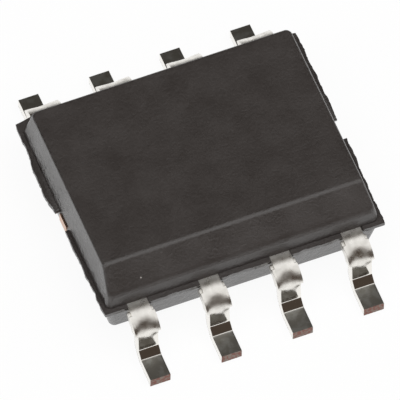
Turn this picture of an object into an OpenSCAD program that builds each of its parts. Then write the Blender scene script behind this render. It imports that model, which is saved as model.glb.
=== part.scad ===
// Eight-lead small-outline package with gull-wing leads: a moulded body round a
// stamped leadframe, a silicon die on its pad, and eight bond wires.
// Millimetres. Origin on the board, under the middle of the body.
// +X along the rows of leads, +Y across the body, +Z up.

/* [Body] */
// Length of the body at the parting plane
body_l = 4.9; // [4.8:0.01:5]
// Width of the body at the parting plane
body_w = 3.9; // [3.8:0.01:4]
// Depth of the upper half, from the parting plane to the top face
upper_h = 0.69; // [0.64:0.01:0.8]
// Depth of the lower half, from the underside to the parting plane
lower_h = 0.68; // [0.6:0.01:0.74]
// Gap between the underside and the board
standoff = 0.23; // [0.1:0.01:0.25]
// Draft of all the walls, in degrees
draft = 11; // [7:0.5:15]
// Width of the chamfer above leads 1 to 4, seen from above
chamfer_w = 0.43; // [0.25:0.01:0.48]
// Height of the chamfer
chamfer_h = 0.37; // [0.25:0.01:0.42]
// Radius that blends the chamfer into the wall below it
blend_r = 0.25; // [0.1:0.01:0.3]
// Radius of the upright corners
corner_r = 0.11; // [0.06:0.01:0.2]
// Diameter of the ejector pin mark on the underside
ejector_d = 0.9; // [0.6:0.05:1.2]
// Depth of the ejector pin mark
ejector_depth = 0.03; // [0.02:0.01:0.05]

/* [Torn flange] */
// Thickness of the flange that the resin left at the parting plane
flange_t = 0.07; // [0.05:0.01:0.1]
// How far the flange stands out from the left end
flange_left = 0.05; // [0.03:0.005:0.08]
// How far the flange stands out from the right end
flange_right = 0.085; // [0.03:0.005:0.1]
// How far the flange stands out at the two near corners
flange_near = 0.065; // [0.02:0.005:0.1]
// How far the flange stands out at the two far corners
flange_far = 0.12; // [0.04:0.01:0.14]
// Width of each end strip of the flange, where the side webs take over
flange_return = 0.44; // [0.4:0.01:0.5]
// How far the web between the near leads stands out
web_near = 0.08; // [0.03:0.005:0.1]
// How far the web between the far leads stands out
web_far = 0.2; // [0.1:0.01:0.24]
// Gap in the flange round each tie bar
flange_gap = 0.4; // [0.34:0.01:0.5]
// Depth of the bites along the torn edge
tear_depth = 0.012; // [0.005:0.001:0.02]

/* [Leads] */
// Spacing of neighbouring leads in a row
pitch = 1.27; // [1.2:0.01:1.3]
// Width over the toes of both rows
lead_span = 6.02; // [5.9:0.01:6.2]
// Width of a lead
lead_w = 0.36; // [0.31:0.01:0.42]
// Thickness of the leadframe
lead_t = 0.19; // [0.17:0.01:0.22]
// Depth of the leadframe's underside below the parting plane
frame_sink = 0.12; // [0.08:0.01:0.14]
// Radius inside the shoulder bend
shoulder_r = 0.24; // [0.18:0.01:0.25]
// Radius inside the two bends of the heel
heel_r = 0.07; // [0.05:0.01:0.12]
// Length of the flat between the two bends of the heel
heel_l = 0.13; // [0.08:0.01:0.16]
// Slope of that flat, in degrees
heel_angle = 45; // [40:1:50]
// Length of the straight foot
foot_l = 0.38; // [0.34:0.01:0.42]
// Slope of the foot down to its toe, in degrees
foot_angle = 2; // [1:1:8]
// Lean of the upright from vertical, in degrees
upright_lean = 3; // [0:1:6]
// How far the stub of the dam bar stands out on each side of a near lead
stub_near = 0.045; // [0.02:0.005:0.06]
// How far the stub of the dam bar stands out on each side of a far lead
stub_far = 0.11; // [0.02:0.005:0.12]
// Length of a stub along the lead
stub_l = 0.3; // [0.2:0.01:0.32]
// Turn of the shoulder at which a stub ends, in degrees
stub_turn = 68; // [60:1:72]

/* [Inner leadframe] */
// Length of the die pad
pad_l = 2.4; // [2.1:0.05:2.6]
// Width of the die pad
pad_w = 1.7; // [1.5:0.05:1.8]
// How far the die pad lies below the leads
pad_downset = 0.2; // [0.1:0.01:0.24]
// Width of a tie bar
tie_w = 0.3; // [0.2:0.01:0.32]
// Level root of a tie bar, beyond the pad
tie_root = 0.1; // [0.05:0.01:0.15]
// Length over which a tie bar climbs to the level of the leads
tie_climb = 0.25; // [0.2:0.01:0.3]
// How far a cut tie bar stands out of the end wall
tie_stub = 0.01; // [0.005:0.001:0.02]
// Clearance between the pad and the middle fingers
finger_gap = 0.2; // [0.18:0.01:0.3]
// Width of a middle finger's head
head_w = 0.62; // [0.5:0.01:0.7]
// Length of a middle finger's head
head_l = 0.3; // [0.2:0.01:0.34]
// Clearance between an outer finger and the tie bar
tie_gap = 0.3; // [0.25:0.01:0.4]
// Diameter of the lock hole in a lead
lock_d = 0.16; // [0.1:0.01:0.2]
// Distance of the lock hole from the body wall
lock_inset = 0.3; // [0.25:0.01:0.35]

/* [Die and wires] */
// Length of the die
die_l = 1.7; // [1.2:0.05:1.9]
// Width of the die
die_w = 1.2; // [0.9:0.05:1.3]
// Thickness of the die
die_t = 0.28; // [0.2:0.01:0.3]
// Thickness of the die attach
attach_t = 0.03; // [0.02:0.005:0.05]
// How far the die attach runs out round the die
attach_out = 0.06; // [0.03:0.01:0.09]
// Diameter of the bond wire
wire_d = 0.034; // [0.03:0.001:0.05]
// Diameter of a ball bond
ball_d = 0.09; // [0.08:0.005:0.1]
// Height of a ball bond, and of the stitch at the other end
ball_h = 0.03; // [0.025:0.001:0.04]
// Height to which a wire rises straight above its ball
loop_rise = 0.08; // [0.05:0.01:0.12]
// Bend radius at the top of a wire's loop
loop_r = 0.07; // [0.06:0.01:0.1]
// Distance from the die's edge to its bond pads
bond_inset = 0.12; // [0.09:0.01:0.15]

/* [Hidden] */
$fn = 64;
EPS = 0.01;
LEADS_PER_ROW = 4;
// A torn edge has a point each TEAR_STEP, on two waves given in degrees to the millimetre
TEAR_STEP = 0.12;
TEAR_LONG = 610;
TEAR_SHORT = 1390;
TEAR_SHARE = 0.6;
// Width of a wire's neck over its ball, against the wire itself
NECK_SWELL = 1.15;

// Heights above the board
parting_z = standoff + lower_h;
top_z = parting_z + upper_h;
frame_z = parting_z - frame_sink;
frame_top_z = frame_z + lead_t;
pad_z = frame_z - pad_downset;
attach_z = pad_z + lead_t;
die_z = attach_z + attach_t;
die_top_z = die_z + die_t;

// Places across and along the body
wall_y = body_w / 2;
wall_x = body_l / 2;
middle_tip_y = pad_w / 2 + finger_gap;
outer_tip_y = tie_w / 2 + tie_gap;
lock_y = wall_y - lock_inset;
row_half = (LEADS_PER_ROW - 1) / 2 * pitch;
wire_r = wire_d / 2;

// Run of a lead outside the body, from the shoulder to the toe
shoulder_turn = 90 - upright_lean;
heel_out_r = heel_r + lead_t;
upright_l = (frame_z - shoulder_r * (1 - cos(shoulder_turn))
             - heel_out_r * (cos(foot_angle) - cos(shoulder_turn))
             - heel_l * sin(heel_angle) - foot_l * sin(foot_angle)) / cos(upright_lean);
shoulder_y = lead_span / 2 - lead_t * sin(foot_angle) - foot_l * cos(foot_angle)
             - heel_out_r * (sin(shoulder_turn) - sin(foot_angle)) - heel_l * cos(heel_angle)
             - upright_l * sin(upright_lean) - shoulder_r * sin(shoulder_turn);

// Leads 1 to 4 run along +X on the near side, 5 to 8 back along -X on the far side
function is_near(n) = n <= LEADS_PER_ROW;
function column(n) = is_near(n) ? n - 1 : 2 * LEADS_PER_ROW - n;
function lead_x(n) = column(n) * pitch - row_half;
function is_outer(n) = column(n) == 0 || column(n) == LEADS_PER_ROW - 1;
function row_side(n) = is_near(n) ? -1 : 1;
function stub_w(n) = lead_w + 2 * (is_near(n) ? stub_near : stub_far);

// ---- Moulded body ----

// One half of the mould: walls drafted inwards from z = 0 up to height h
module drafted_half(h) {
    shrink = h * tan(draft);
    difference() {
        intersection() {
            translate([-wall_x, 0, 0]) rotate([90, 0, 90]) linear_extrude(body_l)
                polygon([[-wall_y, 0], [wall_y, 0], [wall_y - shrink, h], [shrink - wall_y, h]]);
            translate([0, wall_y, 0]) rotate([90, 0, 0]) linear_extrude(body_w)
                polygon([[-wall_x, 0], [wall_x, 0], [wall_x - shrink, h], [shrink - wall_x, h]]);
        }
        for (x = [-1, 1], y = [-1, 1])
            translate([x * wall_x, y * wall_y, 0]) rotate([0, 0, atan2(y, x)]) corner_cut(h);
    }
}

// Leaves a corner of radius corner_r where two drafted walls meet. The cut leans with
// the edge between the walls, which lies at the origin with its outer side towards +X.
module corner_cut(h) {
    half_turn = acos(sin(draft) * sin(draft)) / 2;
    lean = atan(sqrt(2) * tan(draft));
    middle_x = -corner_r / cos(half_turn);
    outer_r = corner_r + EPS;
    side = outer_r * [cos(half_turn), sin(half_turn)];
    rotate([0, -lean, 0]) translate([0, 0, -h]) linear_extrude(3 * h)
        translate([middle_x, 0]) difference() {
            polygon([[0, 0], side, [outer_r / cos(half_turn), 0], [side[0], -side[1]]]);
            circle(r = corner_r);
        }
}

// Prism that cuts the long chamfer off the top edge above leads 1 to 4, and blends it
// into the wall with an arc that touches both
module chamfer_cut() {
    edge_y = upper_h * tan(draft) - wall_y;
    slope = atan2(chamfer_h, chamfer_w);
    foot = -chamfer_h * [tan(draft), 1];
    half_turn = (90 - slope - draft) / 2;
    touch = blend_r * tan(half_turn);
    on_wall = foot - touch * [sin(draft), cos(draft)];
    on_chamfer = foot + touch * [cos(slope), sin(slope)];
    middle = foot + blend_r / cos(half_turn) * [cos(draft + half_turn), -sin(draft + half_turn)];
    top = foot + chamfer_w * [1, 0] + (chamfer_h + EPS) * [0, 1] + EPS / tan(slope) * [1, 0];
    translate([-wall_x, edge_y, top_z]) rotate([90, 0, 90]) linear_extrude(body_l)
        difference() {
            polygon([top, [on_wall[0] - chamfer_w, EPS], on_wall - [chamfer_w, 0], on_wall,
                     on_chamfer]);
            translate(middle) circle(r = blend_r, $fn = 128);
        }
}

// Depth of a torn edge, at a distance s along it
function tear(s) = tear_depth * (TEAR_SHARE * sin(TEAR_LONG * s)
    + (1 - TEAR_SHARE) * sin(TEAR_SHORT * s));

// Torn edge of length l along +X at y = 0, with the places of its points
function torn_edge(l, start) = let (steps = round(l / TEAR_STEP))
    [for (i = [0:steps]) [i * l / steps, tear(start + i * l / steps)]];

// Strip of the flange on a short end, from y0 to y1, standing out to out_x; its far
// side widens towards the web by flare
module flange_strip(out_x, y0, y1, flare) {
    root_x = out_x - flange_return;
    linear_extrude(flange_t) polygon(concat(
        [[root_x, y1 + flare], [root_x, y0]],
        [for (p = torn_edge(y1 - y0, y0 + out_x)) [out_x + p[1], y0 + p[0]]]));
}

module flange_end(out_x) {
    flange_strip(out_x, -wall_y - flange_near, -flange_gap / 2, 0);
    flange_strip(out_x, flange_gap / 2, wall_y + flange_far, web_far - flange_far);
}

// Web of resin that filled the gaps between the leads of one row, as far as out_y
module side_web(out_y) {
    half_l = wall_x - flange_return;
    linear_extrude(flange_t) polygon(concat(
        [[half_l, 0], [-half_l, 0]],
        [for (p = torn_edge(2 * half_l, out_y)) [p[0] - half_l, out_y + p[1]]]));
}

// Space over a lead that the web leaves clear, from where the lead turns down
module over_bend(n) {
    translate([lead_x(n), row_side(n) * shoulder_y, -EPS]) rotate([0, 0, row_side(n) * 90])
        translate([0, -lead_w / 2, 0]) cube([web_far, lead_w, flange_t + 2 * EPS]);
}

module flange() {
    difference() {
        union() {
            flange_end(wall_x + flange_right);
            mirror([1, 0, 0]) flange_end(wall_x + flange_left);
            side_web(wall_y + web_far);
            mirror([0, 1, 0]) side_web(wall_y + web_near);
        }
        for (n = [1:2 * LEADS_PER_ROW]) over_bend(n);
    }
}

module resin() {
    difference() {
        translate([0, 0, parting_z]) {
            drafted_half(upper_h);
            mirror([0, 0, 1]) drafted_half(lower_h);
            flange();
        }
        chamfer_cut();
        translate([0, 0, standoff - EPS]) cylinder(h = ejector_depth + EPS, d = ejector_d);
    }
}

module moulded_body() {
    color([0.24, 0.22, 0.21]) difference() {
        resin();
        die_pad();
        die_attach();
        silicon_die();
        for (n = [1:2 * LEADS_PER_ROW]) {
            lead(n);
            bond_wire(n);
        }
    }
}

// ---- Leads, built along +X from the body wall, underside at z = 0 ----

// Straight run of sheet, with what follows at its end
module straight(l) {
    translate([0, -lead_w / 2, 0]) cube([l, lead_w, lead_t]);
    translate([l, 0, 0]) children();
}

// Sheet of width w turned downwards through an angle
module bend_down(turn, w) {
    translate([0, 0, -shoulder_r]) {
        rotate([90, 0, 0]) rotate([0, 0, 90 - turn]) rotate_extrude(angle = turn)
            translate([shoulder_r, -w / 2]) square([lead_t, w]);
        rotate([0, turn, 0]) translate([0, 0, shoulder_r]) children();
    }
}

// Sheet turned back upwards through an angle
module bend_up(turn) {
    translate([0, 0, lead_t + heel_r]) {
        rotate([90, 0, 0]) rotate([0, 0, -90]) rotate_extrude(angle = turn)
            translate([heel_r, -lead_w / 2]) square([lead_t, lead_w]);
        rotate([0, -turn, 0]) translate([0, 0, -lead_t - heel_r]) children();
    }
}

// Upper part of the shoulder, with the stubs of the dam bar at its end
module stubbed_shoulder(w) {
    intersection() {
        bend_down(stub_turn, w);
        translate([0, 0, -shoulder_r]) rotate([0, stub_turn, 0])
            linear_extrude(shoulder_r + 2 * lead_t) stub_outline(w);
    }
    translate([0, 0, -shoulder_r]) rotate([0, stub_turn, 0])
        translate([0, 0, shoulder_r]) children();
}

module stub_outline(w) {
    back = shoulder_r + 2 * lead_t;
    translate([-back, -lead_w / 2]) square([back + EPS, lead_w]);
    translate([-stub_l, -w / 2]) square([stub_l + EPS, w]);
}

module gull_wing(w) {
    straight(shoulder_y - wall_y)
        stubbed_shoulder(w)
            bend_down(shoulder_turn - stub_turn, lead_w)
                straight(upright_l)
                    bend_up(shoulder_turn - heel_angle)
                        straight(heel_l)
                            bend_up(heel_angle - foot_angle)
                                straight(foot_l);
}

// Finger of a middle lead, inside the body, ending in a head that locks it
module middle_finger() {
    reach = wall_y - middle_tip_y;
    translate([-reach, -lead_w / 2]) square([reach, lead_w]);
    translate([-reach, -head_w / 2]) square([head_l, head_w]);
}

// Finger of an outer lead, running in beside the pad with a head turned to it
module outer_finger(turned) {
    reach = wall_y - outer_tip_y;
    translate([-reach, -lead_w / 2]) square([reach, lead_w]);
    translate([-reach, turned > 0 ? -lead_w / 2 : lead_w / 2 - head_w])
        square([head_l, head_w]);
}

module lead(n) {
    color([0.86, 0.85, 0.81]) difference() {
        translate([lead_x(n), row_side(n) * wall_y, frame_z]) rotate([0, 0, row_side(n) * 90]) {
            gull_wing(stub_w(n));
            linear_extrude(lead_t)
                if (is_outer(n)) outer_finger(sign(lead_x(n)) * row_side(n));
                else middle_finger();
        }
        translate([lead_x(n), row_side(n) * lock_y, frame_z - EPS])
            cylinder(h = lead_t + 2 * EPS, d = lock_d);
    }
}

// ---- Die pad with its two tie bars ----

module tie_bar() {
    root_x = pad_l / 2 - tie_root;
    climb_x = pad_l / 2 + tie_root;
    level_x = climb_x + tie_climb;
    end_x = wall_x + tie_stub;
    color([0.80, 0.66, 0.50])
    translate([0, tie_w / 2, 0]) rotate([90, 0, 0]) linear_extrude(tie_w)
        polygon([[root_x, pad_z], [climb_x, pad_z], [level_x, frame_z], [end_x, frame_z],
                 [end_x, frame_top_z], [level_x, frame_top_z], [climb_x, attach_z],
                 [root_x, attach_z]]);
}

module die_pad() {
    color([0.80, 0.66, 0.50]) {
        translate([-pad_l / 2, -pad_w / 2, pad_z]) cube([pad_l, pad_w, lead_t]);
        tie_bar();
        mirror([1, 0, 0]) tie_bar();
    }
}

// ---- Die, its attach and the bond wires ----

module die_attach() {
    l = die_l + 2 * attach_out;
    w = die_w + 2 * attach_out;
    color([0.72, 0.72, 0.70]) translate([-l / 2, -w / 2, attach_z]) cube([l, w, attach_t]);
}

module silicon_die() {
    color([0.35, 0.36, 0.42]) translate([-die_l / 2, -die_w / 2, die_z])
        cube([die_l, die_w, die_t]);
}

// Ball bond on the die, and stitch on the head of the lead's finger
function ball_at(n) =
    [lead_x(n) * (die_l / 2 - bond_inset) / row_half, row_side(n) * (die_w / 2 - bond_inset)];
function stitch_at(n) = is_outer(n)
    ? [lead_x(n) - sign(lead_x(n)) * (head_w - lead_w), row_side(n) * (outer_tip_y + head_l / 2)]
    : [lead_x(n), row_side(n) * (middle_tip_y + head_l / 2)];

module bond_wire(n) {
    from = ball_at(n);
    span = stitch_at(n) - from;
    reach = norm(span);
    bend_z = ball_h + loop_rise;
    // Slope of the run that leaves the loop and touches down on the stitch
    drop = frame_top_z + wire_r - (die_top_z + bend_z);
    to_stitch = atan2(drop, reach - loop_r);
    run_l = sqrt((reach - loop_r) * (reach - loop_r) + drop * drop - loop_r * loop_r);
    slope = atan2(loop_r, run_l) - to_stitch;
    color([0.93, 0.78, 0.42])
    translate([from[0], from[1], die_top_z]) rotate([0, 0, atan2(span[1], span[0])]) {
        cylinder(h = ball_h, d = ball_d);
        cylinder(h = bend_z + wire_r / 2, r1 = ball_d / 3, r2 = wire_r * NECK_SWELL);
        translate([loop_r, 0, bend_z]) {
            rotate([90, 0, 0]) rotate([0, 0, 90 - slope]) rotate_extrude(angle = 90 + slope)
                translate([loop_r, 0]) circle(r = wire_r);
            rotate([0, slope, 0]) translate([0, 0, loop_r]) rotate([0, 90, 0])
                cylinder(h = run_l, r = wire_r);
        }
        translate([reach, 0, frame_top_z - die_top_z]) cylinder(h = ball_h, d = ball_d);
    }
}

moulded_body();
die_pad();
die_attach();
silicon_die();
lead(1);  // lead_1
lead(2);  // lead_2
lead(3);  // lead_3
lead(4);  // lead_4
lead(5);  // lead_5
lead(6);  // lead_6
lead(7);  // lead_7
lead(8);  // lead_8
bond_wire(1);  // bond_wire_1
bond_wire(2);  // bond_wire_2
bond_wire(3);  // bond_wire_3
bond_wire(4);  // bond_wire_4
bond_wire(5);  // bond_wire_5
bond_wire(6);  // bond_wire_6
bond_wire(7);  // bond_wire_7
bond_wire(8);  // bond_wire_8
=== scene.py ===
"""Looks of a small-outline chip package: a moulded body standing on eight gull-wing leads.

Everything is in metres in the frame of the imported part. Meshes are shaped in millimetres, because
the operators' tolerances are too coarse for a part this small, and shrunk to metres at the end.
"""

import logging
import math
from collections.abc import Callable, Iterable
from dataclasses import dataclass, field
from enum import Enum

import bmesh
import bpy
from mathutils import Matrix, Vector, noise

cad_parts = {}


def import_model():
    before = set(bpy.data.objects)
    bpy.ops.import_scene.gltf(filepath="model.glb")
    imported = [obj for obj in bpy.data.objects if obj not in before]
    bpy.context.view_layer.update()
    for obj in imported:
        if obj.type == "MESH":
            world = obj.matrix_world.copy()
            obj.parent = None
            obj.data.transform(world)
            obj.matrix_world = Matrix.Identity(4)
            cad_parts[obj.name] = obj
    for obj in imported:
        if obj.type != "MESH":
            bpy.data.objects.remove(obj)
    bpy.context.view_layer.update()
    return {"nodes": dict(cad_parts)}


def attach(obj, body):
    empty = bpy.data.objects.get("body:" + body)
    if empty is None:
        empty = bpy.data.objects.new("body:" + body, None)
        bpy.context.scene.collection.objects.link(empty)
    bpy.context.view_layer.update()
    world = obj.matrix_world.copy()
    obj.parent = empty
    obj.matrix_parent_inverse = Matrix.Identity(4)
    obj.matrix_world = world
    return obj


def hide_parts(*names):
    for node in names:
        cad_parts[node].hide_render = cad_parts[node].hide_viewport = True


LOG = logging.getLogger("chip")
MM = 0.001
MERGE_MM = 0.0002
FLAT_DEGREES = 0.8
TEAR_SEED = 7
BMesh = bmesh.types.BMesh
Face = bmesh.types.BMFace
Vert = bmesh.types.BMVert
Edge = bmesh.types.BMEdge


# ---- Colours and nodes ----


def linear(hex_colour: str, alpha: float = 1.0) -> tuple[float, float, float, float]:
    """Turns an sRGB hex colour into the linear values that a shader takes.

    Args:
        hex_colour: six hex digits, with or without a leading #.
        alpha: the fourth value of the result.

    Returns:
        Red, green and blue, each 0 to 1 and linear, and alpha.
    """
    digits = hex_colour.lstrip("#")
    values = [int(digits[i : i + 2], 16) / 255 for i in (0, 2, 4)]
    red, green, blue = (
        v / 12.92 if v <= 0.04045 else ((v + 0.055) / 1.055) ** 2.4 for v in values
    )
    return red, green, blue, alpha


@dataclass
class Graph:
    """A material's or a world's node tree while it is wired.

    Attributes:
        tree: the node tree.
    """

    tree: bpy.types.NodeTree

    def add(self, kind: str, links: dict | None = None, **settings: object) -> bpy.types.Node:
        """Adds a node, with its settings, its plain input values and its links.

        Args:
            kind: the node's type name.
            links: input name or number to a value, or to the socket that feeds it.
            **settings: attributes of the node itself.

        Returns:
            The new node.
        """
        node = self.tree.nodes.new(kind)
        for name, value in settings.items():
            setattr(node, name, value)
        for key, value in (links or {}).items():
            if isinstance(value, bpy.types.NodeSocket):
                self.tree.links.new(value, node.inputs[key])
            else:
                node.inputs[key].default_value = value
        return node


def new_material(name: str) -> tuple[bpy.types.Material, Graph]:
    """Makes an empty node material.

    Args:
        name: the material's name.

    Returns:
        The material and its graph, with nothing in it.
    """
    material = bpy.data.materials.new(name)
    material.use_nodes = True
    material.node_tree.nodes.clear()
    return material, Graph(material.node_tree)


def close_material(graph: Graph, shader: bpy.types.Node) -> None:
    """Feeds a shader to the surface output of its material."""
    graph.add("ShaderNodeOutputMaterial", {"Surface": shader.outputs[0]})


def ramp(
    graph: Graph, factor: bpy.types.NodeSocket, stops: Iterable[tuple[float, tuple]]
) -> bpy.types.NodeSocket:
    """Colours a value by a ramp.

    Args:
        graph: the tree to add to.
        factor: the value, 0 to 1.
        stops: place and linear colour of each stop, in rising order.

    Returns:
        The ramp's colour output.
    """
    node = graph.add("ShaderNodeValToRGB", {"Fac": factor})
    points = node.color_ramp.elements
    stops = list(stops)
    while len(points) < len(stops):
        points.new(1.0)
    for point, (place, colour) in zip(points, stops):
        point.position = place
        point.color = colour
    return node.outputs[0]


class Slot(Enum):
    """Names of two of the part's material slots."""

    MOULD = "mould_compound"
    PLATE = "solder_plate"


# ---- Meshes ----


def cad_copy(node: bpy.types.Object) -> BMesh:
    """Copies a CAD node's mesh in millimetres, merged, with its flat faces whole again.

    Args:
        node: the CAD node.

    Returns:
        The copy.
    """
    bm = bmesh.new()
    bm.from_mesh(node.data)
    bmesh.ops.scale(bm, vec=(1 / MM,) * 3, verts=bm.verts)
    bmesh.ops.remove_doubles(bm, verts=bm.verts, dist=MERGE_MM)
    bmesh.ops.dissolve_limit(bm, angle_limit=math.radians(FLAT_DEGREES), use_dissolve_boundaries=False,
                             verts=bm.verts, edges=bm.edges, delimit=set())
    return bm


def sharp_edges(
    bm: BMesh, degrees: float, keep: Callable[[Edge], bool] = lambda e: True
) -> list[Edge]:
    """Lists the edges that turn by more than an angle.

    Args:
        bm: the mesh.
        degrees: the angle.
        keep: a further test that an edge has to pass.

    Returns:
        The edges.
    """
    limit = math.radians(degrees)
    return [e for e in bm.edges if e.is_manifold and e.calc_face_angle(0) > limit and keep(e)]


def round_edges(bm: BMesh, edges: list[Edge], radius: float, segments: int) -> None:
    """Bevels edges to a radius in millimetres."""
    bmesh.ops.bevel(bm, geom=edges, offset=radius, offset_type="OFFSET", affect="EDGES",
                    segments=segments, profile=0.5, material=-1, clamp_overlap=False)


def finish_mesh(
    name: str, bm: BMesh, materials: list[bpy.types.Material], smooth: float
) -> bpy.types.Object:
    """Shrinks a mesh from millimetres to metres and makes an object of it.

    Args:
        name: the object's name.
        bm: the mesh, which is freed.
        materials: its material slots.
        smooth: edges that turn by more degrees than this stay sharp.

    Returns:
        The object, linked into the scene and riding on the part.
    """
    for face in bm.faces:
        face.smooth = True
    for edge in bm.edges:
        edge.smooth = edge.is_manifold and edge.calc_face_angle(0) < math.radians(smooth)
    bmesh.ops.scale(bm, vec=(MM,) * 3, verts=bm.verts)
    mesh = bpy.data.meshes.new(name)
    bm.to_mesh(mesh)
    bm.free()
    for material in materials:
        mesh.materials.append(material)
    piece = bpy.data.objects.new(name, mesh)
    bpy.context.scene.collection.objects.link(piece)
    weigh = piece.modifiers.new("even_normals", "WEIGHTED_NORMAL")
    weigh.keep_sharp = True
    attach(piece, "root")
    return piece


def fade(value: float, start: float, end: float) -> float:
    """Smooth step from 0 at start to 1 at end."""
    share = min(1.0, max(0.0, (value - start) / (end - start)))
    return share * share * (3 - 2 * share)


# ---- Finishes ----


@dataclass(frozen=True)
class MouldedEpoxy:
    """Black epoxy with silica filler, transfer-moulded in a spark-eroded cavity.

    It gives the eye a near-black satin skin with soft mottling and a few pale specks painted in as glints,
    and the skin turns grey where it is seen at a low angle.

    Attributes:
        name: name of the material.
        dark: colour of the hollows.
        light: colour of the high grains.
        speck: colour of a painted glint, a pale speck in the skin's colour.
        roughness: roughness, which the mottling raises and lowers.
        ior: index of refraction.
        mottle_mm: size of the mottling.
        grain_mm: size of the cavity's grain.
        grain_depth_mm: depth of that grain.
        speck_mm: distance between the places where a speck may lie.
        speck_share: radius of the largest speck, as a share of that distance.
    """

    name: str = "moulded_silica_filled_epoxy"
    dark: str = "302b29"
    light: str = "393432"
    # Colour of the painted glints.
    speck: str = "a09c97"
    roughness: float = 0.38
    ior: float = 1.85
    mottle_mm: float = 0.55
    grain_mm: float = 0.045
    grain_depth_mm: float = 0.006
    speck_mm: float = 0.42
    speck_share: float = 0.055

    def build(self) -> bpy.types.Material:
        """Builds the material."""
        material, g = new_material(self.name)
        place = g.add("ShaderNodeTexCoord").outputs["Object"]
        mottle = g.add("ShaderNodeTexNoise", {"Vector": place, "Scale": 1 / (self.mottle_mm * MM),
                                              "Detail": 5.0, "Roughness": 0.6})
        grain = g.add("ShaderNodeTexNoise", {"Vector": place, "Scale": 1 / (self.grain_mm * MM),
                                             "Detail": 2.0, "Roughness": 0.6})
        blend = g.add("ShaderNodeMix", {0: 0.5, 2: mottle.outputs[0], 3: grain.outputs[0]}, data_type="FLOAT")
        tone = ramp(g, blend.outputs[0], [(0.38, linear(self.dark)), (0.62, linear(self.light))])
        # Painted glints: pale specks put into the skin's colour at scattered places.
        cells = g.add("ShaderNodeTexVoronoi", {"Vector": place, "Scale": 1 / (self.speck_mm * MM)})
        size = g.add("ShaderNodeSeparateColor", {0: cells.outputs["Color"]}).outputs[0]
        reach = g.add("ShaderNodeMapRange", {"Value": size, "From Min": 0.55, "From Max": 1.0,
                                             "To Min": 0.0, "To Max": self.speck_share})
        spot = g.add("ShaderNodeMath", {0: cells.outputs["Distance"], 1: reach.outputs[0]},
                     operation="LESS_THAN")
        skin = g.add("ShaderNodeMix", {0: spot.outputs[0], 6: tone, 7: linear(self.speck)},
                     data_type="RGBA")
        rough = g.add("ShaderNodeMapRange", {"Value": mottle.outputs[0], "From Min": 0.3, "From Max": 0.7,
                                             "To Min": self.roughness - 0.05,
                                             "To Max": self.roughness + 0.07})
        bump = g.add("ShaderNodeBump", {"Height": grain.outputs[0], "Strength": 1.0,
                                        "Distance": self.grain_depth_mm * MM})
        shader = g.add("ShaderNodeBsdfPrincipled", {"Base Color": skin.outputs[2], "IOR": self.ior,
                                                    "Roughness": rough.outputs[0],
                                                    "Normal": bump.outputs[0]})
        close_material(g, shader)
        return material


@dataclass(frozen=True)
class TinPlate:
    """Matt tin over copper sheet, rolled, stamped, plated and bent.

    It gives the eye a bright, almost mirror-like heel and a cloudier shoulder, where the bend
    stretched the tin.

    Attributes:
        name: name of the material.
        colour: colour of the tin.
        roughness: roughness low down, on the shoulder and on the exit from the resin.
        heights_mm: where the first ends, where the second starts and ends, where the third starts.
        cloud_mm: size of the clouds.
        cloud_depth_mm: depth of their unevenness.
    """

    name: str = "tin_plated_copper_sheet"
    colour: str = "f2efe9"
    roughness: tuple[float, float, float] = (0.1, 0.32, 0.3)
    heights_mm: tuple[float, float, float, float] = (0.52, 0.68, 0.95, 0.979)
    cloud_mm: float = 0.12
    cloud_depth_mm: float = 0.004

    def build(self) -> bpy.types.Material:
        """Builds the material."""
        material, g = new_material(self.name)
        place = g.add("ShaderNodeTexCoord").outputs["Object"]
        height = g.add("ShaderNodeSeparateXYZ", {0: place}).outputs["Z"]
        cloud = g.add("ShaderNodeTexNoise", {"Vector": place, "Scale": 1 / (self.cloud_mm * MM),
                                             "Detail": 4.0})
        level = g.add("ShaderNodeMapRange", {"Value": height, "From Min": 0.0, "From Max": MM})
        foot, shoulder, root = ((r, r, r, 1) for r in self.roughness)
        heel, bend, crest, top = self.heights_mm
        stops = [(heel, foot), (bend, shoulder), (crest, shoulder), (top, root)]
        rough = ramp(g, level.outputs[0], stops)
        uneven = g.add("ShaderNodeMapRange", {"Value": cloud.outputs[0], "From Min": 0.3, "From Max": 0.7,
                                              "To Min": 0.7, "To Max": 1.35})
        share = g.add("ShaderNodeMath", {0: rough, 1: uneven.outputs[0]}, operation="MULTIPLY")
        bump = g.add("ShaderNodeBump", {"Height": cloud.outputs[0], "Strength": 0.5,
                                        "Distance": self.cloud_depth_mm * MM})
        shader = g.add("ShaderNodeBsdfPrincipled", {"Base Color": linear(self.colour), "Metallic": 1.0,
                                                    "Roughness": share.outputs[0], "Normal": bump.outputs[0]})
        close_material(g, shader)
        return material


@dataclass(frozen=True)
class FootTinWithPaintedReflection:
    """Tin on the top of the feet, painted a darker grey as a stand-in for the dark reflection they show.

    It gives the eye a darker, cloudier grey than the bright tin beside it, which is painted reflection.

    Attributes:
        name: name of the material.
        colour: the painted dark grey of most of the tin, standing in for its dark reflection.
        cloud: colour of the paler clouds.
        roughness: roughness.
        cloud_mm: size of the clouds.
        cloud_depth_mm: depth of their unevenness.
    """

    name: str = "tin_darkened_as_painted_reflection"
    # Painted reflection: this dark grey stands in for the dark surroundings that the top of the foot mirrors.
    colour: str = "8d8a83"
    cloud: str = "a3a29d"
    roughness: float = 0.42
    cloud_mm: float = 0.16
    cloud_depth_mm: float = 0.004

    def build(self) -> bpy.types.Material:
        """Builds the material."""
        material, g = new_material(self.name)
        place = g.add("ShaderNodeTexCoord").outputs["Object"]
        cloud = g.add("ShaderNodeTexNoise", {"Vector": place, "Scale": 1 / (self.cloud_mm * MM),
                                             "Detail": 5.0})
        tone = ramp(g, cloud.outputs[0], [(0.45, linear(self.colour)), (0.62, linear(self.cloud))])
        bump = g.add("ShaderNodeBump", {"Height": cloud.outputs[0], "Strength": 0.3,
                                        "Distance": self.cloud_depth_mm * MM})
        shader = g.add("ShaderNodeBsdfPrincipled", {"Base Color": tone, "Metallic": 1.0,
                                                    "Roughness": self.roughness, "Normal": bump.outputs[0]})
        close_material(g, shader)
        return material


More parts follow.
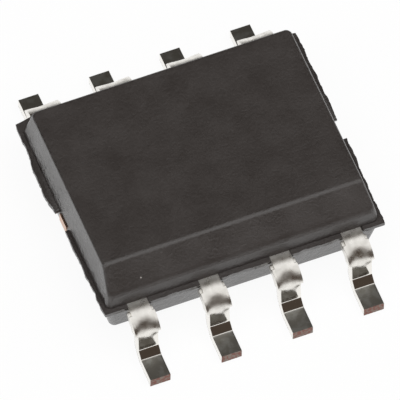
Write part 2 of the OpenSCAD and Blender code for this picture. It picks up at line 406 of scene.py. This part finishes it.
@dataclass(frozen=True)
class InnerMetal:
    """A metal inside the resin or laid bare at its edge, with fine clouds and scratches.

    It gives the eye its own colour, broken up a little, so that nothing looks painted.

    Attributes:
        name: name of the material.
        colour: its main colour.
        cloud: colour of the paler clouds.
        roughness: roughness, which the clouds raise and lower.
        grain_mm: size of the clouds.
        stretch: how much finer they are along each axis.
        grain_depth_mm: depth of their unevenness.
    """

    name: str
    colour: str
    cloud: str
    roughness: float
    grain_mm: float
    stretch: tuple[float, float, float] = (1, 1, 1)
    grain_depth_mm: float = 0.003

    def build(self) -> bpy.types.Material:
        """Builds the material."""
        material, g = new_material(self.name)
        place = g.add("ShaderNodeTexCoord").outputs["Object"]
        along = g.add("ShaderNodeMapping", {"Vector": place, "Scale": self.stretch})
        grain = g.add("ShaderNodeTexNoise", {"Vector": along.outputs[0], "Scale": 1 / (self.grain_mm * MM),
                                             "Detail": 4.0})
        tone = ramp(g, grain.outputs[0], [(0.4, linear(self.colour)), (0.65, linear(self.cloud))])
        rough = g.add("ShaderNodeMapRange", {"Value": grain.outputs[0], "From Min": 0.3, "From Max": 0.7,
                                             "To Min": self.roughness * 0.7, "To Max": self.roughness * 1.3})
        bump = g.add("ShaderNodeBump", {"Height": grain.outputs[0], "Strength": 0.4,
                                        "Distance": self.grain_depth_mm * MM})
        shader = g.add("ShaderNodeBsdfPrincipled", {"Base Color": tone, "Metallic": 1.0,
                                                    "Roughness": rough.outputs[0],
                                                    "Normal": bump.outputs[0]})
        close_material(g, shader)
        return material


@dataclass(frozen=True)
class CutCopper:
    """Copper alloy laid bare where the leads were sheared off their frame.

    It gives the eye a red-brown toe with grey smears of tin dragged over it.

    Attributes:
        name: name of the material.
        colour: colour of the bare alloy.
        smear: colour of the tin smeared over it.
        roughness: roughness.
        smear_mm: size of the smears.
    """

    name: str = "sheared_copper_alloy"
    colour: str = "7d5248"
    smear: str = "857a71"
    roughness: float = 0.4
    smear_mm: float = 0.06

    def build(self) -> bpy.types.Material:
        """Builds the material."""
        material, g = new_material(self.name)
        place = g.add("ShaderNodeTexCoord").outputs["Object"]
        cloud = g.add("ShaderNodeTexNoise", {"Vector": place, "Scale": 1 / (self.smear_mm * MM),
                                             "Detail": 3.0})
        tone = ramp(g, cloud.outputs[0], [(0.42, linear(self.colour)), (0.6, linear(self.smear))])
        shader = g.add("ShaderNodeBsdfPrincipled", {"Base Color": tone, "Metallic": 1.0,
                                                    "Roughness": self.roughness})
        close_material(g, shader)
        return material


# ---- Moulded body ----


@dataclass
class MouldedBody:
    """The resin body: its drafted halves, the chamfer and the torn flange.

    Attributes:
        node: the CAD node that the piece stands for.
        epoxy: finish of the top and of the walls beside the leads.
        eroded: finish of the two end walls and of the lower half.
        draft: draft of the walls, in degrees.
        half: half the length and half the width at the parting plane.
        parting: heights of the flange's underside and top.
        floor_z: height of the underside.
        top_z: height of the top.
        pitch: distance between two leads.
        lead_w: width of a lead.
        edge: radius of the body's edges.
        crumb: how far the tear moves the rim to and fro.
        bulge: how far the rim swells on the left end.
        droop: how far it hangs down there.
        worn: how far the rim falls back on the right end.
        rim_depth: depth that every point of the rim is beyond, outside the walls.
        skin: depth down to which the resin is kept.
        slack: what a point may be off a plane and still count as on it.
    """

    node: bpy.types.Object
    epoxy: bpy.types.Material
    eroded: bpy.types.Material
    draft: float = 11.0
    half: tuple[float, float] = (2.45, 1.95)
    parting: tuple[float, float] = (0.91, 0.98)
    floor_z: float = 0.23
    top_z: float = 1.6
    pitch: float = 1.27
    lead_w: float = 0.36
    edge: float = 0.05
    crumb: float = 0.012
    bulge: float = 0.045
    droop: float = 0.06
    worn: float = 0.035
    rim_depth: float = -0.02
    skin: float = 0.25
    slack: float = 0.01

    def depth(self, place: Vector) -> float:
        """Depth of a point below the nearest wall, top or underside."""
        rise = abs(place.z - self.parting[0])
        slope = math.tan(math.radians(self.draft))
        return min(self.half[0] - rise * slope - abs(place.x), self.half[1] - rise * slope - abs(place.y),
                   self.top_z - place.z, place.z - self.floor_z)

    def hollow(self, bm: BMesh) -> None:
        """Takes away the inner skin round the leadframe, which nothing shows."""
        inner = [v for v in bm.verts if self.depth(v.co) > self.skin]
        bmesh.ops.delete(bm, geom=inner, context="VERTS")

    def at_rim(self, vert: Vert) -> bool:
        """Tells whether a point lies on the torn rim of the flange."""
        low, high = self.parting
        return low - self.slack < vert.co.z < high + self.slack and self.depth(vert.co) < self.rim_depth

    def on_rim(self, edge: Edge) -> bool:
        """Tells whether an edge lies on the torn rim of the flange."""
        return all(self.at_rim(v) for v in edge.verts)

    def on_mouth(self, edge: Edge) -> bool:
        """Tells whether an edge belongs to the opening that a lead comes out of."""
        spots = [v.co for v in edge.verts]
        shares = [abs(abs(p.x) % self.pitch - self.pitch / 2) for p in spots]
        return all(share < self.lead_w / 2 + 0.005 and abs(p.y) > self.half[1] - 0.15 and 0.7 < p.z < 1.0
                   for share, p in zip(shares, spots))

    def tear(self, bm: BMesh) -> None:
        """Breaks up the rim of the flange, as the resin tore there."""
        rim = [e for e in bm.edges
               if self.on_rim(e) and abs(e.verts[0].co.z - e.verts[1].co.z) < self.slack]
        bmesh.ops.subdivide_edges(bm, edges=rim, cuts=4, use_grid_fill=True)
        for vert in filter(self.at_rim, bm.verts):
            coarse = noise.noise_vector(vert.co * 9)
            fine = noise.noise_vector(vert.co * 31)
            move = (coarse * 0.6 + fine * 0.7) * self.crumb
            vert.co += self.swing(vert.co) + Vector((move.x, move.y, move.z * 0.6))

    def swing(self, place: Vector) -> Vector:
        """Slow swing of the rim at the ends, out and down on the left, inwards on the right.

        Args:
            place: a point of the rim.

        Returns:
            How far the point is moved.
        """
        if place.x < -self.half[0]:
            share = fade(place.y, 0.0, 0.6) * (1 - fade(place.y, 0.9, 1.7))
            return Vector((-self.bulge, 0, -self.droop)) * share
        if place.x > self.half[0]:
            return Vector((-self.worn * fade(-place.y, 0.4, 1.4), 0, 0))
        return Vector()

    def build(self) -> bpy.types.Object:
        """Builds the piece."""
        bm = cad_copy(self.node)
        self.hollow(bm)
        outer = sharp_edges(bm, 25, lambda e: e.is_convex and not (self.on_rim(e) or self.on_mouth(e)))
        round_edges(bm, outer, self.edge, 3)
        self.tear(bm)
        bm.normal_update()
        for face in bm.faces:
            face.material_index = 1 if face.normal.z < 0.1 or abs(face.normal.x) > 0.8 else 0
        return finish_mesh("moulded_shell", bm, [self.epoxy, self.eroded], 40)


# ---- Leads ----


@dataclass
class Sheet:
    """A bar of sheet that grows from its first cross-section, run by run, along +X.

    Attributes:
        bm: the mesh.
        width: width of the sheet.
        thick: its thickness.
        columns: faces across its width.
        rows: faces through its thickness.
        front: the faces of the growing end.
        foot: the middle of the end's underside.
        lean: how far the run is turned down, in degrees.
    """

    bm: BMesh
    width: float
    thick: float
    columns: int = 12
    rows: int = 3
    front: list[Face] = field(default_factory=list)
    foot: Vector = field(default_factory=Vector)
    lean: float = 0.0

    def __post_init__(self) -> None:
        """Makes the first cross-section, facing -X."""
        grid = bmesh.ops.create_grid(self.bm, x_segments=self.rows, y_segments=self.columns, size=0.5)
        verts = grid["verts"]
        bmesh.ops.scale(self.bm, vec=(self.thick, self.width, 1), verts=verts)
        bmesh.ops.translate(self.bm, vec=(self.thick / 2, 0, 0), verts=verts)
        upright = Matrix.Rotation(math.radians(-90), 3, "Y")
        bmesh.ops.rotate(self.bm, cent=(0, 0, 0), matrix=upright, verts=verts)
        self.front = list({f for v in verts for f in v.link_faces})

    def ahead(self) -> Vector:
        """Direction in which the sheet grows."""
        turn = math.radians(self.lean)
        return Vector((math.cos(turn), 0, -math.sin(turn)))

    def above(self) -> Vector:
        """Direction out of the sheet's upper face."""
        turn = math.radians(self.lean)
        return Vector((math.sin(turn), 0, math.cos(turn)))

    def straight(self, length: float, steps: int = 1) -> "Sheet":
        """Grows a straight run.

        Args:
            length: its length.
            steps: how many rows of faces it gets.

        Returns:
            The sheet.
        """
        move = self.ahead() * (length / steps)
        for _ in range(steps):
            grown = bmesh.ops.extrude_face_region(self.bm, geom=self.front)["geom"]
            self.front = [g for g in grown if isinstance(g, Face)]
            bmesh.ops.translate(self.bm, vec=move, verts=[g for g in grown if isinstance(g, Vert)])
        self.foot = self.foot + self.ahead() * length
        return self

    def bend(self, degrees: float, inside: float, step: float = 4.0) -> "Sheet":
        """Grows a bend.

        Args:
            degrees: how far it turns, downwards if above 0.
            inside: radius on the inner side.
            step: degrees for each row of faces.

        Returns:
            The sheet.
        """
        reach = -inside if degrees > 0 else self.thick + inside
        centre = self.foot + self.above() * reach
        angle = math.radians(degrees)
        rims = [part for f in self.front for part in (*f.verts, *f.edges)]
        region = list({*self.front, *rims})
        grown = bmesh.ops.spin(self.bm, geom=region, cent=centre, axis=(0, 1, 0), angle=angle,
                               steps=max(2, round(abs(degrees) / step)), use_merge=False, use_duplicate=False)
        self.front = [g for g in grown["geom_last"] if isinstance(g, Face)]
        self.foot = centre + Matrix.Rotation(angle, 3, "Y") @ (self.foot - centre)
        self.lean += degrees
        return self


@dataclass
class GullWing:
    """One lead: the finger in the resin, the shoulder with its dam-bar stubs, the heel and the foot.

    The visible part grows along +X from its root and is then moved to its place on the body.

    Attributes:
        number: 1 to 4 in the row below the chamfer, 5 to 8 back along the other row.
        node: the CAD node that the piece stands for.
        tin: finish of the lead.
        copper: finish of the sheared toe.
        painted_dark_foot: finish of the top of the foot, with its painted dark reflection.
        width: width of the lead.
        thick: thickness of the sheet.
        pitch: distance between two leads.
        frame_z: height of the leadframe's underside.
        root_y: where the part inside the resin ends, from the middle of the body.
        toe_y: where the toe ends.
        shoulder_r: inner radius of the shoulder.
        heel_r: inner radius of the two bends of the heel.
        heel_run: length of the flat between them.
        foot_run: length of the foot.
        leans: how far the upright, the heel's flat and the foot are turned down, in degrees.
        stub_turn: how far round the shoulder the stubs reach, in degrees.
        stub_run: length of the stubs along the lead.
        edge: radius of the lead's edges.
    """

    number: int
    node: bpy.types.Object
    tin: bpy.types.Material
    copper: bpy.types.Material
    painted_dark_foot: bpy.types.Material
    width: float = 0.36
    thick: float = 0.19
    pitch: float = 1.27
    frame_z: float = 0.79
    root_y: float = 1.88
    toe_y: float = 3.01
    shoulder_r: float = 0.24
    heel_r: float = 0.07
    heel_run: float = 0.13
    foot_run: float = 0.38
    leans: tuple[float, float, float] = (87.0, 45.0, 2.0)
    stub_turn: float = 68.0
    stub_run: float = 0.3
    edge: float = 0.008

    @property
    def near(self) -> bool:
        """Whether the lead is in the row below the chamfer."""
        return self.number <= 4

    @property
    def middle_x(self) -> float:
        """Place of the lead along the body."""
        column = self.number - 1 if self.near else 8 - self.number
        return (column - 1.5) * self.pitch

    @property
    def stub(self) -> float:
        """How far a stub stands out on each side."""
        return 0.045 if self.near else 0.11

    @property
    def flare(self) -> float:
        """How far the ends of the stubs stand off the bend."""
        return 0.05 if self.near else 0.015

    @property
    def upright_run(self) -> float:
        """Length of the upright, which lets the toe stand on the board."""
        upright, heel, foot = (math.radians(a) for a in self.leans)
        outer = self.heel_r + self.thick
        fall = self.shoulder_r * (1 - math.cos(upright)) + outer * (math.cos(foot) - math.cos(upright))
        fall += self.heel_run * math.sin(heel) + self.foot_run * math.sin(foot)
        return (self.frame_z - fall) / math.sin(upright)

    @property
    def shoulder_y(self) -> float:
        """Where the shoulder starts to turn down."""
        upright, heel, foot = (math.radians(a) for a in self.leans)
        outer = self.heel_r + self.thick
        reach = self.thick * math.sin(foot) + self.foot_run * math.cos(foot)
        reach += outer * (math.sin(upright) - math.sin(foot)) + self.heel_run * math.cos(heel)
        return self.toe_y - reach - self.upright_run * math.cos(upright) - self.shoulder_r * math.sin(upright)

    def place(self, bm: BMesh) -> None:
        """Moves the lead from its own axes to its place on the body."""
        row = -1 if self.near else 1
        turn = Matrix.Rotation(math.radians(90 * row), 3, "Z")
        bmesh.ops.rotate(bm, cent=(0, 0, 0), matrix=turn, verts=bm.verts)
        bmesh.ops.translate(bm, vec=(self.middle_x, row * self.root_y, self.frame_z), verts=bm.verts)

    def grow_stubs(self, bm: BMesh) -> None:
        """Draws the stubs of the dam bar out of the sides of the shoulder."""
        centre = Vector((self.shoulder_y - self.root_y, 0, -self.shoulder_r))
        turn = math.radians(self.stub_turn)
        ahead = Vector((math.cos(turn), 0, -math.sin(turn)))
        for side in (-1, 1):
            faces = []
            for face in bm.faces:
                middle = face.calc_center_median()
                along = (middle - centre).dot(ahead)
                flush = abs(middle.y - side * self.width / 2) < 1e-4
                if flush and -self.stub_run < along < 0 and middle.x > centre.x:
                    faces.append(face)
            grown = bmesh.ops.extrude_face_region(bm, geom=faces)["geom"]
            ends = [g for g in grown if isinstance(g, Vert)]
            bmesh.ops.translate(bm, vec=(0, side * self.stub, 0), verts=ends)

    def flare_stubs(self, bm: BMesh) -> None:
        """Lets the stiff stubs stand off the bend, so that the shoulder hollows between them."""
        centre = Vector((self.shoulder_y - self.root_y, 0, -self.shoulder_r))
        for vert in bm.verts:
            arm = vert.co - centre
            turn = math.degrees(math.atan2(arm.x, arm.z))
            if not 0 < turn < 90 or vert.co.z < -self.shoulder_r - 0.05:
                continue
            out = fade(turn, 25, self.stub_turn - 4) * (1 - fade(turn, self.stub_turn, 84))
            side = fade(abs(vert.co.y), 0.03, self.width / 2 + self.stub)
            vert.co += Vector((arm.x, 0, arm.z)).normalized() * (self.flare * out * side)

    def finger(self) -> BMesh:
        """Returns the part of the lead that lies in the resin, cut off the CAD solid."""
        bm = cad_copy(self.node)
        row = -1 if self.near else 1
        cut = bmesh.ops.bisect_plane(bm, geom=bm.verts[:] + bm.edges[:] + bm.faces[:], clear_outer=True,
                                     plane_co=(0, row * self.root_y, 0), plane_no=(0, row, 0))
        rim = [g for g in cut["geom_cut"] if isinstance(g, Edge)]
        bmesh.ops.contextual_create(bm, geom=rim)
        return bm

    def build(self) -> bpy.types.Object:
        """Builds the piece."""
        bm = bmesh.new()
        sheet = Sheet(bm, self.width, self.thick)
        upright, heel, foot = self.leans
        sheet.straight(self.shoulder_y - self.root_y, 2)
        sheet.bend(self.stub_turn, self.shoulder_r).bend(upright - self.stub_turn, self.shoulder_r)
        sheet.straight(self.upright_run, 3)
        sheet.bend(heel - upright, self.heel_r).straight(self.heel_run, 3).bend(foot - heel, self.heel_r)
        sheet.straight(self.foot_run, 4)
        for face in sheet.front:
            face.material_index = 1
        bmesh.ops.recalc_face_normals(bm, faces=bm.faces)
        # The tops of the feet take the finish with the painted dark reflection.
        for face in bm.faces:
            if face.normal.z > 0.9 and face.calc_center_median().x > sheet.foot.x - self.foot_run - 0.03:
                face.material_index = 2
        self.grow_stubs(bm)
        self.flare_stubs(bm)
        bmesh.ops.recalc_face_normals(bm, faces=bm.faces)
        toe = {v for f in sheet.front for v in f.verts}
        round_edges(bm, sharp_edges(bm, 50, lambda e: not toe.issuperset(e.verts)), self.edge, 2)
        self.place(bm)
        inner = self.finger()
        spare = bpy.data.meshes.new("spare")
        inner.to_mesh(spare)
        inner.free()
        bm.from_mesh(spare)
        bpy.data.meshes.remove(spare)
        return finish_mesh(f"gull_wing_{self.number}", bm, [self.tin, self.copper, self.painted_dark_foot], 45)


# ---- Studio ----


@dataclass
class Studio:
    """Camera, floor and the light round the part.

    Attributes:
        azimuth: degrees that the camera has gone round from -Y towards -X.
        elevation: degrees above the board.
        distance: metres from the part.
        focal_mm: focal length, which sets the width of the view.
        aim_mm: how far the view is moved, to its right and upwards.
        floor_size: half the width of the floor, in metres.
        floor_glow: share of the floor that glows white, so that the rest keeps the shadow.
    """

    azimuth: float = -21.63
    elevation: float = 56.30
    distance: float = 0.317
    focal_mm: float = 1711.8
    aim_mm: tuple[float, float] = (-0.008, 0.127)
    floor_size: float = 0.6
    floor_glow: float = 0.93

    def camera(self) -> None:
        """Places the camera."""
        az, el = math.radians(self.azimuth), math.radians(self.elevation)
        back = Vector((math.sin(az) * math.cos(el), -math.cos(az) * math.cos(el), math.sin(el)))
        right = Vector((math.cos(az), math.sin(az), 0))
        up = back.cross(right)
        data = bpy.data.cameras.new("camera")
        data.lens = self.focal_mm
        data.clip_start = 0.01
        data.clip_end = 10
        view = bpy.data.objects.new("camera", data)
        view.rotation_euler = back.to_track_quat("Z", "Y").to_euler()
        view.location = back * self.distance + (right * self.aim_mm[0] + up * self.aim_mm[1]) * MM
        bpy.context.scene.collection.objects.link(view)
        bpy.context.scene.camera = view

    def floor(self) -> None:
        """Lays the pale floor, which shows white but keeps a soft share of the shadow."""
        bm = bmesh.new()
        bmesh.ops.create_grid(bm, x_segments=1, y_segments=1, size=self.floor_size)
        mesh = bpy.data.meshes.new("floor")
        bm.to_mesh(mesh)
        bm.free()
        floor = bpy.data.objects.new("floor", mesh)
        bpy.context.scene.collection.objects.link(floor)
        material, g = new_material("white_board")
        path = g.add("ShaderNodeLightPath")
        seen = g.add("ShaderNodeMath", {0: path.outputs["Is Camera Ray"], 1: path.outputs["Is Glossy Ray"]},
                     operation="MAXIMUM")
        share = g.add("ShaderNodeMath", {0: seen.outputs[0], 1: self.floor_glow},
                      operation="MULTIPLY")
        paper = g.add("ShaderNodeBsdfDiffuse", {"Color": linear("ffffff")})
        white = g.add("ShaderNodeEmission", {"Color": linear("ffffff"), "Strength": 1.0})
        mix = g.add("ShaderNodeMixShader", {0: share.outputs[0], 1: paper.outputs[0], 2: white.outputs[0]})
        close_material(g, mix)
        mesh.materials.append(material)

    def world(self) -> None:
        """Builds the world: white behind the part, and soft boxes with dark gaps for gloss.

        Each band is an angle, 0 at the horizon before the part and 90 overhead, and its level.
        """
        world = bpy.data.worlds.new("studio")
        bpy.context.scene.world = world
        world.use_nodes = True
        world.node_tree.nodes.clear()
        g = Graph(world.node_tree)
        way = g.add("ShaderNodeTexCoord").outputs["Generated"]
        axes = g.add("ShaderNodeSeparateXYZ", {0: way})
        front = g.add("ShaderNodeMath", {0: axes.outputs["Y"], 1: -1.0}, operation="MULTIPLY")
        rise = g.add("ShaderNodeMath", {0: axes.outputs["Z"], 1: front.outputs[0]}, operation="ARCTAN2")
        turn = g.add("ShaderNodeMapRange", {"Value": rise.outputs[0], "From Min": -math.pi,
                                            "From Max": math.pi})
        bands = [(-180, "808080"), (-50, "f4f4f4"), (-8, "f0eeea"), (4, "564b42"), (14, "4e453d"),
                 (40, "443b34"), (47, "3e362f"), (54, "a09a94"), (62, "ffffff"), (96, "ffffff"),
                 (104, "8e8a86"), (112, "57544f"), (124, "45413c"), (150, "3b3732"), (172, "6a6864")]
        glow = ramp(g, turn.outputs[0], [((angle + 180) / 360, linear(level)) for angle, level in bands])
        studio = g.add("ShaderNodeBackground", {"Color": glow, "Strength": 1.0})
        plain = g.add("ShaderNodeBackground", {"Color": linear("ffffff"), "Strength": 1.0})
        path = g.add("ShaderNodeLightPath")
        mix = g.add("ShaderNodeMixShader", {0: path.outputs["Is Camera Ray"], 1: studio.outputs[0],
                                            2: plain.outputs[0]})
        g.add("ShaderNodeOutputWorld", {"Surface": mix.outputs[0]})

    def lamp(self) -> None:
        """Hangs one wide soft lamp, which lights the matt surfaces only."""
        data = bpy.data.lights.new("soft_box", "SUN")
        data.energy = 1.6
        data.angle = math.radians(80)
        data.color = (1, 1, 1)
        lamp = bpy.data.objects.new("soft_box", data)
        lamp.rotation_euler = (math.radians(20), 0, 0)
        lamp.visible_glossy = False
        bpy.context.scene.collection.objects.link(lamp)

    def build(self) -> None:
        """Sets up the whole studio."""
        bpy.context.scene.view_settings.view_transform = "Standard"
        self.camera()
        self.floor()
        self.world()
        self.lamp()


def dress_inside(nodes: dict[str, bpy.types.Object], epoxy: bpy.types.Material,
                 tin: bpy.types.Material) -> None:
    """Gives every CAD node its finish.

    Args:
        nodes: the CAD nodes by name.
        epoxy: finish of the resin body.
        tin: finish of the leads.
    """
    inner = {
        "die_pad": InnerMetal("bare_copper_alloy_strip", "c79f86", "d9b9a2", 0.3, 0.09, (0.3, 1, 1)),
        "die_attach": InnerMetal("silver_filled_epoxy_glue", "8f8f8c", "b4b4b0", 0.55, 0.02),
        "silicon_die": InnerMetal("polished_silicon", "4d5058", "565a63", 0.12, 0.2),
        "bond_wire": InnerMetal("drawn_gold_wire", "d9a441", "e6b85c", 0.2, 0.02, (1, 1, 0.3)),
    }
    finishes = {kind: metal.build() for kind, metal in inner.items()}
    for name, node in nodes.items():
        kind = "bond_wire" if name.startswith("bond_wire") else name
        finish = finishes.get(kind, epoxy if name == "moulded_body" else tin)
        for place in node.material_slots:
            place.material = finish


def main() -> None:
    """Builds the scene and reports its pieces."""
    logging.basicConfig(level=logging.INFO, format="%(message)s")
    noise.seed_set(TEAR_SEED)
    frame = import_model()
    nodes = frame["nodes"]
    epoxy = MouldedEpoxy().build()
    eroded = MouldedEpoxy(name="epoxy_from_a_spark_eroded_wall", dark="2a2523", light="383331",
                          roughness=0.27, ior=2.1, grain_mm=0.08, grain_depth_mm=0.012).build()
    tin = TinPlate().build()
    copper = CutCopper().build()
    # Finish of the foot tops: a painted dark reflection.
    painted_dark_foot = FootTinWithPaintedReflection().build()
    body = MouldedBody(nodes["moulded_body"], epoxy, eroded).build()
    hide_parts("moulded_body")
    LOG.info("%s: %d faces", body.name, len(body.data.polygons))
    for number in range(1, 9):
        lead = GullWing(number, nodes[f"lead_{number}"], tin, copper, painted_dark_foot).build()
        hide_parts(f"lead_{number}")
        LOG.info("%s: %d faces", lead.name, len(lead.data.polygons))
    dress_inside(nodes, epoxy, tin)
    Studio().build()


if __name__ == "__main__":
    main()
